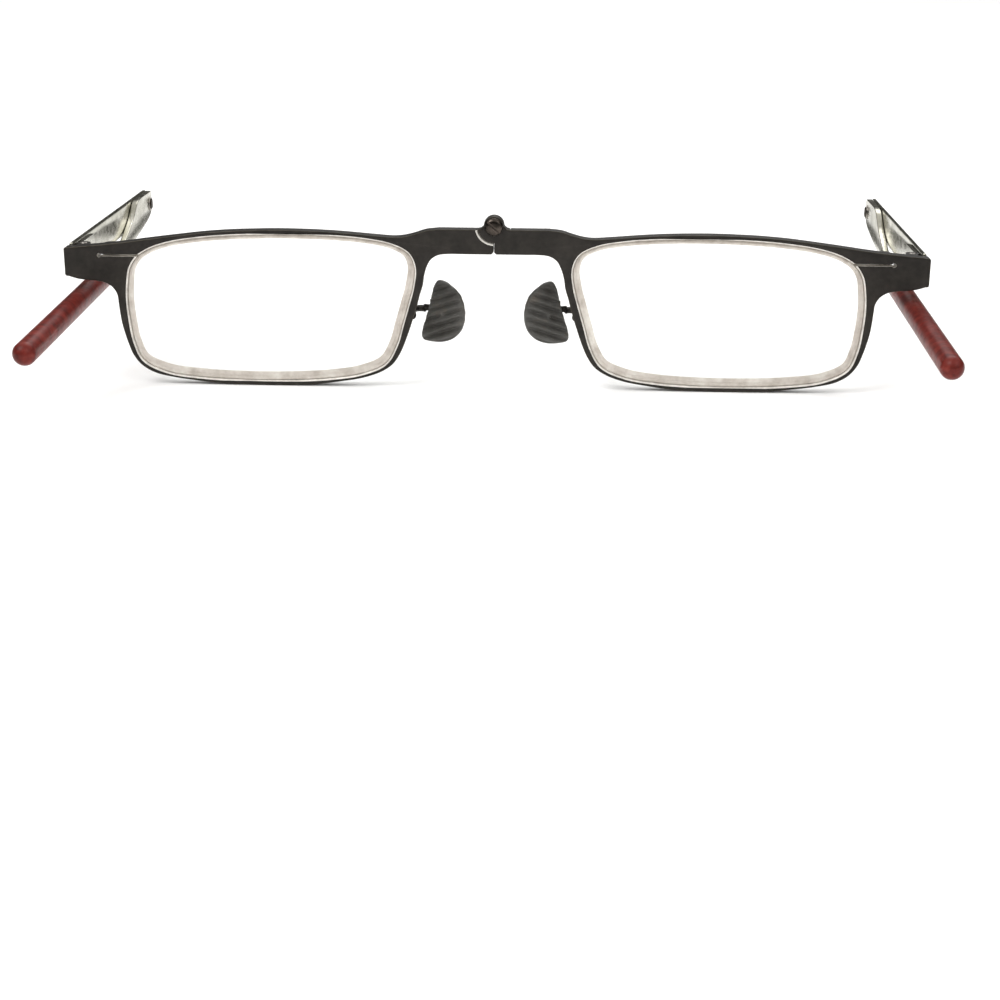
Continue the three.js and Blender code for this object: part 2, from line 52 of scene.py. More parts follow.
# ------------------------------------------------------------------ sizes shared with the CAD, mm
HALF_WIDTH = 63.0
RIM_DEPTH, RIM_BOTTOM, RIM_CHAMFER, PLATE_ROUND = 2.0, -11.88, 0.22, 0.09
PIVOT_Z = 12.25
BAR_TOP, BAR_BOTTOM = 11.81, 8.22
BUTT_GAP = 0.05
ENDPIECE_TOP, ENDPIECE_BOTTOM = 8.47, 4.24
EAR_R, EAR_CLEAR_R, EAR_CROWN_R = 2.35, 2.43, 1.5
LAP_FRONT, LAP_BACK = 0.98, 1.02
BRIDGE_PIN_R, BRIDGE_BORE_R, BRIDGE_HEAD_R, BRIDGE_NUT_R, BRIDGE_NUT_BORE_R = 0.7, 0.75, 1.32, 1.25, 0.73
KERF_Z, KERF_HALF, KERF_START, KERF_END, KERF_HOLE_R = 7.4, 0.17, 50.8, 57.8, 0.3
LOCK_X, LOCK_Y, LOCK_R, LOCK_PIN_R, LOCK_BORE_R = 56.6, 2.97, 0.95, 0.45, 0.5
LOCK_UPPER_Z, LOCK_UPPER_BORE_Z = (7.72, 8.75), (7.42, 8.5)
LOCK_LOWER_Z, LOCK_LOWER_BORE_Z = (4.45, 7.08), (3.45, 8.08)
HINGE_X, HINGE_Y, KNUCKLE_R, HINGE_PIN_R, HINGE_BORE_R = 61.0, 4.2, 1.0, 0.55, 0.6
LEAF_Z, KNUCKLE_Z, KNUCKLE_GAP = (4.4, 8.45), (5.6, 7.5), 0.05
LEAF_FRONT, LEAF_BACK, TEMPLE_LEAF_END = RIM_DEPTH + 0.02, 2.9, 12
BAND_MID_X, BAND_INNER_X, BAND_HALF = 62.45, 62.05, 0.4
BAND_FRONT, BAND_END, BAND_TOP, BAND_BOTTOM = 2.3, 51.8, 8.75, 3.95
ARM_PIVOT, ARM_X, ARM_PIN_R, ARM_BORE_R = (49.3, 6.7), (61.05, 62.0), 0.6, 0.65
ARM_WASHER_R, ARM_WASHER_X = 1.15, (60.89, 61.03)
ROD_X, ROD_R, ROD_Z0, ROD_SLOPE, ROD_TIP, ROD_TAIL = 61.3, 1.63, 0.5, 0.03, -28.5, 24.0
CORE_R, CORE_BORE_R, CORE_END = 0.8, 0.88, -18.0
PAD_ANCHOR, PAD_TILT, PAD_CENTRE = (12.15, -1.4), 0.42, (7.95, 5.6, -1.3)
PAD_HALF, RIB_TURN, RIB_PERIOD, RIB_PHASE, RIB_DEPTH = 0.85, 0.36, 1.24, 0.42, 0.46
PAD_WIRE_R = 0.5
LENS_C = (32.3, -0.3)

TOP_EDGE = [(8, 11.81), (9.9, 11.58), (11.4, 11.1), (12.95, 10.7), (14.43, 10.55), (17.02, 10.7),
            (19.97, 10.94), (23.74, 11.2), (27.97, 11.35), (31.8, 11.38), (35.02, 11.3), (38.57, 11.15),
            (42.43, 10.84), (46.34, 10.37), (50.17, 9.87), (54.12, 9.32), (58.57, 8.81), (62.5, 8.47)]
UNDER_EDGE = [(62.5, 4.24), (61.2, 3.86), (59.8, 3.68), (58.4, 3.58), (57.2, 3.34), (56.1, 2.66),
            (55.46, 1.61), (55.31, 0.31), (55.19, -1.12), (54.99, -2.67), (54.63, -4.24), (54.17, -5.82),
            (53.51, -7.53), (52.36, -9.02), (50.45, -10.16), (47.52, -10.86), (44.34, -11.29),
            (40.76, -11.68), (37.13, -11.84), (33.02, -11.88), (29.45, -11.82), (25.92, -11.56),
            (22.47, -11.09), (19.28, -10.5), (16.69, -9.59), (14.94, -8.42), (13.95, -7.05), (13.27, -5.65),
            (12.74, -4.25), (12.24, -2.76), (11.76, -1.29), (11.33, 0.19), (10.92, 1.76), (10.47, 3.25),
            (10.22, 4.8), (9.8, 6.2), (9.15, 7.35), (8.1, 8.02), (6.5, 8.22), (4.8, 8.22)]
OPENING = [(53.75, 3.65), (53.37, 5.45), (52.29, 7.13), (50.37, 8.38), (47.32, 9.38), (41.9, 10.2),
            (36.03, 10.6), (29.98, 10.73), (24.41, 10.62), (19.1, 10.23), (14.91, 9.45), (12.47, 8.16),
            (11.57, 6.16), (11.79, 3.41), (12.58, 0.4), (13.39, -2.4), (14.3, -5.49), (15.96, -8.31),
            (19.42, -9.91), (24.29, -10.72), (30.45, -11.09), (36.65, -11.13), (43.16, -10.84),
            (48.62, -10.05), (52.03, -8.3), (53.25, -5.51), (53.76, -2.28), (53.96, 0.93)]
PAD_OUTLINE = [(0.6, 4.45), (-0.4, 4.42), (-1.62, 3.78), (-3, 2.6), (-3.75, 0.7), (-3.8, -1.2), (-3.2, -2.9),
            (-1.9, -4.2), (-0.15, -4.88), (1.75, -5), (3.15, -4.72), (3.3, -3.75), (2.6, -1.4), (1.8, 1.2),
            (1.25, 3.4)]

rim_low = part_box("front_left")[0]
TO_ROW = Matrix.Translation((0.0, rim_low.y, rim_low.z - RIM_BOTTOM * 0.001)) @ Matrix.Scale(0.001, 4)
SIDES = (("left", 1), ("right", -1))


# ------------------------------------------------------------------ curves
def spline(points, count, closed=False):
    """Evenly spaced samples of a centripetal Catmull-Rom curve through 2-D points."""
    pts = [Vector(p) for p in points]
    n = len(pts)
    spans = n if closed else n - 1
    fine = []
    for i in range(spans):
        if closed:
            p = [pts[(i + k) % n] for k in (-1, 0, 1, 2)]
        else:
            p = [pts[i - 1] if i else pts[0] * 2 - pts[1], pts[i], pts[i + 1],
                 pts[i + 2] if i + 2 < n else pts[-1] * 2 - pts[-2]]
        d = [max((p[k + 1] - p[k]).length ** 0.5, 1e-4) for k in range(3)]
        t1 = ((p[1] - p[0]) / d[0] - (p[2] - p[0]) / (d[0] + d[1]) + (p[2] - p[1]) / d[1]) * d[1]
        t2 = ((p[2] - p[1]) / d[1] - (p[3] - p[1]) / (d[1] + d[2]) + (p[3] - p[2]) / d[2]) * d[1]
        for k in range(24):
            t = k / 24
            fine.append(p[1] + t1 * t + (p[2] * 3 - p[1] * 3 - t1 * 2 - t2) * t * t
                        + (p[1] * 2 - p[2] * 2 + t1 + t2) * t ** 3)
    fine.append(pts[0] if closed else pts[-1])
    run = [0.0]
    for a, b in zip(fine, fine[1:]):
        run.append(run[-1] + (b - a).length)
    out, k = [], 0
    for i in range(count if closed else count + 1):
        s = run[-1] * i / count
        while k < len(run) - 2 and run[k + 1] < s:
            k += 1
        f = (s - run[k]) / max(run[k + 1] - run[k], 1e-9)
        out.append(fine[k].lerp(fine[k + 1], f))
    return out


def ccw(loop):
    area = sum(a.x * b.y - b.x * a.y for a, b in zip(loop, loop[1:] + loop[:1]))
    return loop if area > 0 else loop[::-1]


def offset_loop(loop, amount):
    """Moves a counter-clockwise loop outwards by amount, a number or a function of the outward normal."""
    out, n = [], len(loop)
    for i, p in enumerate(loop):
        along = (loop[(i + 2) % n] - loop[i - 2]).normalized()
        out_dir = Vector((along.y, -along.x))
        out.append(p + out_dir * (amount(out_dir) if callable(amount) else amount))
    return out


def arc(cx, cz, r, a0, a1, n):
    return [Vector((cx + r * math.cos(a0 + (a1 - a0) * i / n), cz + r * math.sin(a0 + (a1 - a0) * i / n)))
            for i in range(n + 1)]


# ------------------------------------------------------------------ mesh tools, all in mm until put()
def link(name, mesh):
    ob = bpy.data.objects.new(name, mesh)
    scene.collection.objects.link(ob)
    return ob


def from_lists(name, verts, faces):
    me = bpy.data.meshes.new(name)
    me.from_pydata([tuple(v) for v in verts], [], faces)
    bm = bmesh.new()
    bm.from_mesh(me)
    bmesh.ops.remove_doubles(bm, verts=bm.verts, dist=1e-4)
    bmesh.ops.recalc_face_normals(bm, faces=bm.faces)
    bm.to_mesh(me)
    bm.free()
    return link(name, me)


def applied(ob):
    """Bakes an object's modifiers into its mesh."""
    dg = bpy.context.evaluated_depsgraph_get()
    me = bpy.data.meshes.new_from_object(ob.evaluated_get(dg))
    ob.modifiers.clear()
    old = ob.data
    ob.data = me
    if old.users == 0 and isinstance(old, bpy.types.Mesh):
        bpy.data.meshes.remove(old)
    return ob


def face_out(ob):
    """Turns a closed mesh's normals outward, going by its signed volume."""
    bm = bmesh.new()
    bm.from_mesh(ob.data)
    if bm.calc_volume(signed=True) < 0:
        bmesh.ops.reverse_faces(bm, faces=bm.faces)
        bm.to_mesh(ob.data)
    bm.free()


def combine(ob, tools, operation):
    for solid in [ob] + tools:
        face_out(solid)
    for tool in tools:
        mod = ob.modifiers.new("b", "BOOLEAN")
        mod.operation, mod.object, mod.solver = operation, tool, "EXACT"
    applied(ob)
    for tool in tools:
        bpy.data.objects.remove(tool)
    return ob


def soften(ob, width, segments=2, angle=35):
    mod = ob.modifiers.new("v", "BEVEL")
    mod.width, mod.segments, mod.limit_method = width, segments, "ANGLE"
    mod.angle_limit, mod.miter_outer = math.radians(angle), "MITER_ARC"
    mod.use_clamp_overlap = True
    return applied(ob)


def plate(name, loops, a0, a1, edge, axis="y", steps=2):
    """A flat plate with rounded edges. axis y: loops are x-z; axis x: loops are y-z."""
    cu = bpy.data.curves.new(name, "CURVE")
    cu.dimensions, cu.fill_mode = "2D", "BOTH"
    for loop in loops:
        sp = cu.splines.new("POLY")
        sp.points.add(len(loop) - 1)
        for q, p in zip(sp.points, loop):
            q.co = (p[0], p[1], 0, 1)
        sp.use_cyclic_u = True
    cu.extrude, cu.bevel_depth, cu.bevel_resolution, cu.offset = (a1 - a0) / 2 - edge, edge, steps, -edge
    ob = link(name, cu)
    dg = bpy.context.evaluated_depsgraph_get()
    me = bpy.data.meshes.new_from_object(ob.evaluated_get(dg))
    bpy.data.objects.remove(ob)
    turn = Matrix.Rotation(math.pi / 2, 4, "X")
    if axis == "x":
        turn = Matrix.Rotation(math.pi / 2, 4, "Z") @ turn
    mid = (a0 + a1) / 2
    me.transform(Matrix.Translation((0, mid, 0) if axis == "y" else (mid, 0, 0)) @ turn)
    bm = bmesh.new()
    bm.from_mesh(me)
    bmesh.ops.remove_doubles(bm, verts=bm.verts, dist=2e-4)
    bmesh.ops.recalc_face_normals(bm, faces=bm.faces)
    bm.to_mesh(me)
    bm.free()
    return link(name, me)


AXES = {"y": Matrix.Identity(4), "z": Matrix.Rotation(math.pi / 2, 4, "X"),
        "x": Matrix.Rotation(-math.pi / 2, 4, "Z")}


def turned(name, profile, at=(0, 0, 0), axis="y", segments=64):
    """A solid turned about an axis from a (radius, height) profile that starts and ends on the axis."""
    verts, faces = [], []
    inner = profile[1:-1]
    for r, h in inner:
        for i in range(segments):
            a = 2 * math.pi * i / segments
            verts.append(Vector((r * math.cos(a), h, r * math.sin(a))))
    for k in range(len(inner) - 1):
        for i in range(segments):
            j = (i + 1) % segments
            faces.append((k * segments + i, k * segments + j, (k + 1) * segments + j, (k + 1) * segments + i))
    verts += [Vector((0, profile[0][1], 0)), Vector((0, profile[-1][1], 0))]
    a, b, last = len(verts) - 2, len(verts) - 1, (len(inner) - 1) * segments
    for i in range(segments):
        j = (i + 1) % segments
        faces += [(a, j, i), (b, last + i, last + j)]
    place = Matrix.Translation(at) @ AXES[axis]
    return from_lists(name, [place @ v for v in verts], faces)


def cylinder(axis, r, a0, a1, at, segments=64):
    where = {"y": (at[0], 0, at[1]), "z": (at[0], at[1], 0), "x": (0, at[0], at[1])}[axis]
    return turned("c", [(0, a0), (r, a0), (r, a1), (0, a1)], where, axis, segments)


def block(x0, x1, y0, y1, z0, z1):
    verts = [(x, y, z) for x in (x0, x1) for y in (y0, y1) for z in (z0, z1)]
    faces = [(0, 1, 3, 2), (4, 6, 7, 5), (0, 4, 5, 1), (2, 3, 7, 6), (0, 2, 6, 4), (1, 5, 7, 3)]
    return from_lists("k", verts, faces)


def sweep(name, path, section, segments=24):
    """A closed tube along 3-D points. section(i) gives its two half widths, the first one nearest to x."""
    pts = [Vector(p) for p in path]
    tangents = [(pts[min(i + 1, len(pts) - 1)] - pts[max(i - 1, 0)]).normalized() for i in range(len(pts))]
    side = Vector((1, 0, 0))
    rings, normal = [], (side - tangents[0] * side.dot(tangents[0])).normalized()
    for i, (p, t) in enumerate(zip(pts, tangents)):
        normal = (normal - t * normal.dot(t)).normalized()
        other = t.cross(normal)
        a, b = section(i)
        turns = [2 * math.pi * k / segments for k in range(segments)]
        rings.append([p + normal * (a * math.cos(ang)) + other * (b * math.sin(ang)) for ang in turns])
    return loft(name, rings, pts[0], pts[-1])


def loft(name, rings, first, last):
    n = len(rings[0])
    verts = [v for ring in rings for v in ring] + [first, last]
    faces = [(r * n + i, r * n + (i + 1) % n, (r + 1) * n + (i + 1) % n, (r + 1) * n + i)
             for r in range(len(rings) - 1) for i in range(n)]
    a, b, top = len(verts) - 2, len(verts) - 1, (len(rings) - 1) * n
    for i in range(n):
        j = (i + 1) % n
        faces += [(a, j, i), (b, top + i, top + j)]
    return from_lists(name, verts, faces)


def smooth3(points, count):
    """A smooth 3-D path through points."""
    flat = [Vector(p) for p in points]
    out, n = [], len(flat)
    for i in range(n - 1):
        p = [flat[max(i - 1, 0)], flat[i], flat[i + 1], flat[min(i + 2, n - 1)]]
        for k in range(count):
            t = k / count
            out.append(0.5 * (p[1] * 2 + (p[2] - p[0]) * t + (p[0] * 2 - p[1] * 5 + p[2] * 4 - p[3]) * t * t
                              + (p[1] * 3 - p[0] - p[2] * 3 + p[3]) * t ** 3))
    return out + [flat[-1]]


def put(name, ob, sign, body, nodes, materials, angle=32, choose=None):
    """Sets a finished mm mesh into the row frame, mirrors it for the right side, and rides it on its body."""
    me = ob.data
    if sign < 0:
        me.transform(Matrix.Scale(-1, 4, (1, 0, 0)))
        me.flip_normals()
    me.materials.clear()
    for m in materials:
        me.materials.append(m)
    if choose:
        for poly in me.polygons:
            c = poly.center
            n = poly.normal
            poly.material_index = choose(Vector((abs(c.x), c.y, c.z)), Vector((n.x * sign, n.y, n.z)))
    me.transform(TO_ROW)
    me.shade_smooth()
    me.set_sharp_from_angle(angle=math.radians(angle))
    me.name = ob.name = name
    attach(ob, body)
    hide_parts(*nodes)
    return ob


# ------------------------------------------------------------------ materials
class Mat:
    """A small builder for node materials; textures use object coordinates, so scales are per metre."""

    def __init__(self, name):
        self.m = bpy.data.materials.new(name)
        self.m.use_nodes = True
        self.tree = self.m.node_tree
        self.shader = self.tree.nodes["Principled BSDF"]
        self.coord = self.tree.nodes.new("ShaderNodeTexCoord").outputs["Object"]

    def wire(self, node, socket, value):
        if isinstance(value, bpy.types.NodeSocket):
            self.tree.links.new(value, node.inputs[socket])
        else:
            node.inputs[socket].default_value = value

    def set(self, **values):
        for key, value in values.items():
            self.wire(self.shader, key.replace("_", " "), value)
        return self

    def stretched(self, x, y, z, turn=(0, 0, 0)):
        n = self.tree.nodes.new("ShaderNodeMapping")
        n.inputs["Scale"].default_value = (x, y, z)
        n.inputs["Rotation"].default_value = turn
        self.wire(n, "Vector", self.coord)
        return n.outputs["Vector"]

    def noise(self, scale, detail=3.0, rough=0.55, at=None, distort=0.0):
        n = self.tree.nodes.new("ShaderNodeTexNoise")
        n.inputs["Scale"].default_value = scale
        n.inputs["Detail"].default_value = detail
        n.inputs["Roughness"].default_value = rough
        n.inputs["Distortion"].default_value = distort
        self.wire(n, "Vector", at or self.coord)
        return n.outputs["Fac"]

    def ramp(self, fac, stops):
        n = self.tree.nodes.new("ShaderNodeValToRGB")
        while len(n.color_ramp.elements) < len(stops):
            n.color_ramp.elements.new(0.5)
        for e, (pos, colour) in zip(n.color_ramp.elements, stops):
            e.position = pos
            e.color = (*colour, 1) if len(colour) == 3 else colour
        self.wire(n, "Fac", fac)
        return n.outputs["Color"]

    def span(self, fac, low, high, frm=(0.3, 0.7)):
        n = self.tree.nodes.new("ShaderNodeMapRange")
        n.inputs["From Min"].default_value, n.inputs["From Max"].default_value = frm
        n.inputs["To Min"].default_value, n.inputs["To Max"].default_value = low, high
        self.wire(n, "Value", fac)
        return n.outputs["Result"]

    def bump(self, height, distance, strength=1.0, under=None):
        n = self.tree.nodes.new("ShaderNodeBump")
        n.inputs["Strength"].default_value = strength
        n.inputs["Distance"].default_value = distance
        self.wire(n, "Height", height)
        if under:
            self.wire(n, "Normal", under)
        return n.outputs["Normal"]


def coated_metal(name, dark, light, metallic, rough, grain):
    m = Mat(name)
    mottled = m.noise(420, 5, 0.6)
    fine = m.noise(9000, 2, 0.5)
    m.set(Base_Color=m.ramp(mottled, [(0.32, dark), (0.68, light)]), Metallic=metallic,
          Roughness=m.span(m.noise(1500, 4, 0.6), rough - 0.05, rough + 0.07),
          Normal=m.bump(fine, grain, 0.5, m.bump(m.noise(900, 3), 2.5e-5, 0.25)))
    return m.m


def polished_steel(name, light, tarnish_and_reflection, rough, wave):
    m = Mat(name)
    brush = m.noise(5200, 3, 0.6, m.stretched(1, 0.02, 1))
    # The dark olive streaks in the base colour are partly tarnish and partly painted reflections of a dark
    # studio.
    patches = m.noise(118, 4, 0.55, m.stretched(1, 0.75, 1.25), distort=1.1)
    m.set(Base_Color=m.ramp(patches, [(0.34, tarnish_and_reflection), (0.62, light)]), Metallic=1.0,
          Roughness=m.span(m.noise(700, 4), rough - 0.05, rough + 0.08),
          Normal=m.bump(brush, 6e-6, 0.4, m.bump(m.noise(110, 2, 0.4), wave, 1.0)))
    return m.m


def machined_metal(name, dark, light, rough, metallic=1.0):
    m = Mat(name)
    m.set(Base_Color=m.ramp(m.noise(900, 5), [(0.35, dark), (0.62, light)]), Metallic=metallic,
          Roughness=m.span(m.noise(2400, 4), rough - 0.06, rough + 0.1),
          Normal=m.bump(m.noise(6000, 3), 8e-6, 0.5))
    return m.m


def moulded_plastic():
    m = Mat("tip_plastic")
    cloud = m.noise(620, 5, 0.6, distort=0.25)
    m.set(Base_Color=m.ramp(cloud, [(0.32, (0.066, 0.008, 0.006)), (0.5, (0.122, 0.015, 0.011)),
                                    (0.68, (0.180, 0.028, 0.020))]),
          Roughness=m.span(m.noise(1200, 4), 0.28, 0.40), IOR=1.42, Specular_IOR_Level=0.22,
          Normal=m.bump(m.noise(700, 4), 4e-5, 0.35))
    return m.m


def soft_silicone():
    m = Mat("pad_silicone")
    cloud = m.noise(330, 4, 0.55)
    m.set(Base_Color=m.ramp(cloud, [(0.3, (0.040, 0.036, 0.031)), (0.55, (0.068, 0.066, 0.060)),
                                    (0.75, (0.098, 0.080, 0.062))]),
          Roughness=m.span(m.noise(2600, 3), 0.38, 0.52), IOR=1.43,
          Normal=m.bump(m.noise(4200, 3), 1.2e-5, 0.5))
    return m.m


def clear_glass():
    m = Mat("lens_glass")
    m.set(Base_Color=m.ramp(m.noise(60, 2), [(0.3, (0.965, 0.985, 0.98)), (0.7, (0.985, 0.995, 0.99))]),
          Roughness=0.0, IOR=1.5, Transmission_Weight=1.0)
    tree = m.tree
    mix, clear = tree.nodes.new("ShaderNodeMixShader"), tree.nodes.new("ShaderNodeBsdfTransparent")
    rays = tree.nodes.new("ShaderNodeLightPath")
    clear.inputs["Color"].default_value = (0.93, 0.95, 0.945, 1)
    tree.links.new(rays.outputs["Is Shadow Ray"], mix.inputs["Fac"])
    tree.links.new(m.shader.outputs["BSDF"], mix.inputs[1])
    tree.links.new(clear.outputs["BSDF"], mix.inputs[2])
    tree.links.new(mix.outputs["Shader"], tree.nodes["Material Output"].inputs["Surface"])
    return m.m


def ground_glass():
    m = Mat("lens_ground_edge")
    m.set(Base_Color=m.ramp(m.noise(520, 5, 0.6), [(0.3, (0.40, 0.355, 0.31)), (0.52, (0.55, 0.505, 0.455)),
                                                   (0.7, (0.66, 0.63, 0.575))]),
          Roughness=m.span(m.noise(2500, 4), 0.42, 0.6), IOR=1.5,
          Normal=m.bump(m.noise(5200, 3), 1.5e-5, 0.6))
    return m.m


FRAME = coated_metal("frame_metal", (0.019, 0.017, 0.015), (0.034, 0.030, 0.026), 0.7, 0.44, 8e-6)
# The rounded edges use a lighter, glossier copy of the coating: partly worn, polished edges, partly a painted
# highlight line.
EDGE_WEAR_AND_HIGHLIGHT = coated_metal("frame_metal_edge_wear_and_highlight", (0.040, 0.034, 0.026), (0.078, 0.068, 0.054), 0.9, 0.34, 6e-6)
BARE = machined_metal("bare_metal", (0.56, 0.53, 0.49), (0.78, 0.75, 0.70), 0.46, 0.45)
# The dark second colour of both steels is partly tarnish and partly a painted reflection.
STEEL = polished_steel("band_steel", (0.60, 0.585, 0.52), (0.30, 0.29, 0.225), 0.17, 1.6e-4)
ARM_STEEL = polished_steel("arm_steel", (0.60, 0.585, 0.52), (0.30, 0.29, 0.235), 0.20, 6e-5)
SCREW = machined_metal("screw_steel", (0.34, 0.32, 0.30), (0.55, 0.52, 0.48), 0.28)
DARK_SCREW = machined_metal("dark_screw_steel", (0.030, 0.026, 0.022), (0.085, 0.070, 0.060), 0.25)
TIP = moulded_plastic()
PAD = soft_silicone()
GLASS = clear_glass()
GROUND = ground_glass()

# ------------------------------------------------------------------ shared curves
LOOP = ccw(spline(OPENING, 320, closed=True))
LOOP_TREE = KDTree(len(LOOP))
for number, spot in enumerate(LOOP):
    LOOP_TREE.insert((spot.x, spot.y, 0), number)
LOOP_TREE.balance()


# ------------------------------------------------------------------ front halves
def ear_outline():
    """The pivot ear: a round lobe cut level with the bar, and a smaller crown round the pin above it."""
    level = BAR_TOP - PIVOT_Z
    start = math.asin(level / EAR_R)
    lobe = arc(0, PIVOT_Z, EAR_R, math.pi - start, 2 * math.pi + start, 72)
    rise = math.radians(14)
    crown = arc(0, PIVOT_Z, EAR_CROWN_R, rise, math.pi - rise, 48)
    right = [Vector((1.9, BAR_TOP + 0.08)), Vector((1.62, BAR_TOP + 0.3)), Vector((1.49, BAR_TOP + 0.55))]
    left = [Vector((-p.x, p.y)) for p in reversed(right)]
    return lobe + right + crown + left


def front_half(name, ear_front):
    corner = 0.32
    outline = [Vector((BUTT_GAP, BAR_BOTTOM + 0.3)), Vector((BUTT_GAP, BAR_TOP))]
    outline += spline(TOP_EDGE, 150)
    outline += arc(HALF_WIDTH - corner, ENDPIECE_TOP - corner, corner, math.pi / 2, 0, 6)
    outline += arc(HALF_WIDTH - corner, ENDPIECE_BOTTOM + corner, corner, 0, -math.pi / 2, 6)
    outline += spline(UNDER_EDGE, 330) + [Vector((BUTT_GAP + 0.3, BAR_BOTTOM))]
    clean = [outline[0]]
    for p in outline[1:]:
        if (p - clean[-1]).length > 0.04:
            clean.append(p)
    body = ease_opening(plate("f", [clean, LOOP], 0, RIM_DEPTH, PLATE_ROUND))
    ears = (0, LAP_FRONT) if ear_front else (LAP_BACK, RIM_DEPTH)
    gap = (LAP_FRONT, 3) if ear_front else (-1, LAP_BACK)
    relief = [cylinder("y", EAR_CLEAR_R, *gap, (0, PIVOT_Z), 128)]
    if not ear_front:
        relief.append(turned("cone", [(0, -0.2), (EAR_CLEAR_R + 0.5, -0.2), (EAR_CLEAR_R, 0.3), (0, 0.3)],
                             (0, 0, PIVOT_Z), "y", 128))
    combine(body, relief, "DIFFERENCE")
    combine(body, [plate("e", [ear_outline()], *ears, 0.08)], "UNION")
    combine(body, [cylinder("y", BRIDGE_BORE_R, -1, 3, (0, PIVOT_Z), 48),
                   block(KERF_START, KERF_END, -1, 3, KERF_Z - KERF_HALF, KERF_Z + KERF_HALF),
                   cylinder("y", KERF_HOLE_R, -1, 3, (KERF_END, KERF_Z), 32),
                   ring_along(LOOP, [(-0.4, 0.35), (0.38, 1), (-0.4, 1.65)])], "DIFFERENCE")
    body.name = name
    return body


def ease_opening(ob):
    """Widens the plate's small front rounding round the lens opening into the rim's bevel."""
    grow = RIM_CHAMFER / PLATE_ROUND
    for v in ob.data.vertices:
        if v.co.y < 0.1:
            spot, _, d = LOOP_TREE.find((v.co.x, v.co.z, 0))
            if d < 0.13:
                v.co = (spot.x + (v.co.x - spot.x) * grow, v.co.y * grow, spot.y + (v.co.z - spot.y) * grow)
    return ob


def ring_along(loop, section):
    n = len(loop)
    verts = [Vector((p.x, y, p.y)) for off, y in section for p in offset_loop(loop, off)]
    faces = [(s * n + i, s * n + (i + 1) % n, ((s + 1) % len(section)) * n + (i + 1) % n,
              ((s + 1) % len(section)) * n + i) for s in range(len(section)) for i in range(n)]
    return from_lists("ring", verts, faces)


def front_finish(c, n):
    """0 is the coated plate, 1 its rounded edges in a lighter coating (partly wear, partly a painted
    highlight line), 2 the bare cuts: slit, ear relief, rim wall and groove.
    """
    in_slit = abs(c.z - KERF_Z) < KERF_HALF + 0.02 and KERF_START + 0.1 < c.x < KERF_END + 0.1
    in_kerf = in_slit and abs(n.z) > 0.8
    in_hole = math.hypot(c.x - KERF_END, c.z - KERF_Z) < KERF_HOLE_R + 0.02 and abs(n.y) < 0.5
    if in_kerf or in_hole:
        return 2
    in_relief = -0.05 < math.hypot(c.x, c.z - PIVOT_Z) - EAR_CLEAR_R < 0.34 and c.z < BAR_TOP - 0.1
    if in_relief and abs(n.y) < 0.9 and c.z > BAR_BOTTOM + 1:
        return 2
    if abs(n.y) > 0.97:
        return 0
    if rim_close(c):
        return 2
    # Rounded edges take the lighter edge coating, which is partly wear and partly a painted highlight line.
    return 1 if abs(n.y) > 0.12 else 0


def rim_close(c):
    """True on the inner wall of the rim and in its groove."""
    d = LOOP_TREE.find((c.x, c.z, 0))[2]
    return d < 0.3 or (d < 0.45 and abs(c.y - 1) < 0.4)


# ------------------------------------------------------------------ lens
def lens_width(out_dir):
    """Width of the ground shoulder: narrow along the top, wider at the sides and the bottom."""
    return -(1.02 - 0.5 * max(out_dir.y, 0) + 0.4 * max(-out_dir.y, 0))


def lens_step(out_dir):
    """The fine line that parts the shoulder's two facets."""
    return 0.5 * lens_width(out_dir)


def lens(name):
    """The bevelled lens, and for each face the number of its material: 0 clear, 1 ground."""
    shoulder = offset_loop(LOOP, lens_width)
    centre = Vector(LENS_C)
    steps = 26

    def scaled(loop, s, y):
        return [Vector((centre.x + (p.x - centre.x) * s, y, centre.y + (p.y - centre.y) * s)) for p in loop]

    def ring(off, y):
        return [Vector((p.x, y, p.y)) for p in offset_loop(LOOP, off)]

    rings = [scaled(shoulder, k / steps, -0.5 + 0.52 * (k / steps) ** 2) for k in range(1, steps + 1)]
    front = len(rings)
    rings += [ring(lambda d: lens_step(d) - 0.05, 0.19), ring(lens_step, 0.27), ring(-0.1, 0.38),
              ring(-0.06, 0.42), ring(-0.06, 0.69), ring(0.32, 1), ring(-0.06, 1.31), ring(-0.06, 1.6)]
    back = len(rings)
    inner = offset_loop(LOOP, -0.4)
    rings += [scaled(inner, k / steps, 1.34 + 0.3 * (k / steps) ** 2) for k in range(steps, 0, -1)]
    ob = loft(name, rings, Vector((centre.x, -0.5, centre.y)), Vector((centre.x, 1.34, centre.y)))
    n = len(LOOP)
    total = (len(rings) - 1) * n
    clear = [i >= total or i // n < front - 1 or i // n >= back for i in range(len(ob.data.polygons))]
    return ob, [0 if seen else 1 for seen in clear]


# ------------------------------------------------------------------ small metal parts
DOME = ((0.3, 0.99), (0.55, 0.94), (0.74, 0.8), (0.88, 0.58), (0.97, 0.3), (1.0, 0.12))


def slotted(name, head_r, head_h, pin_r, length, slot, at, axis="y", turn=0.0):
    """A screw with a domed, slotted head. DOME gives its (radius, height) as parts of the head's own."""
    profile = [(0, -head_h)] + [(head_r * r, -head_h * h) for r, h in DOME]
    profile += [(head_r, -0.03), (head_r - 0.03, 0), (pin_r, 0), (pin_r, length - 0.12)]
    profile += [(pin_r - 0.12, length), (0, length)]
    screw = turned(name, profile, segments=64)
    groove = block(-head_r - 0.2, head_r + 0.2, -head_h - 0.2, -head_h * 0.45, -slot / 2, slot / 2)
    combine(screw, [groove], "DIFFERENCE")
    screw.data.transform(Matrix.Translation(at) @ AXES[axis] @ Matrix.Rotation(turn, 4, "Y"))
    return screw


def washer(name, r, bore, a0, a1, at, axis):
    rim = arc(at[0], at[1], r, 0, 2 * math.pi, 64)[:-1]
    hole = arc(at[0], at[1], bore, 0, 2 * math.pi, 48)[:-1]
    return plate(name, [rim, hole], a0, a1, 0.03, axis, 1)


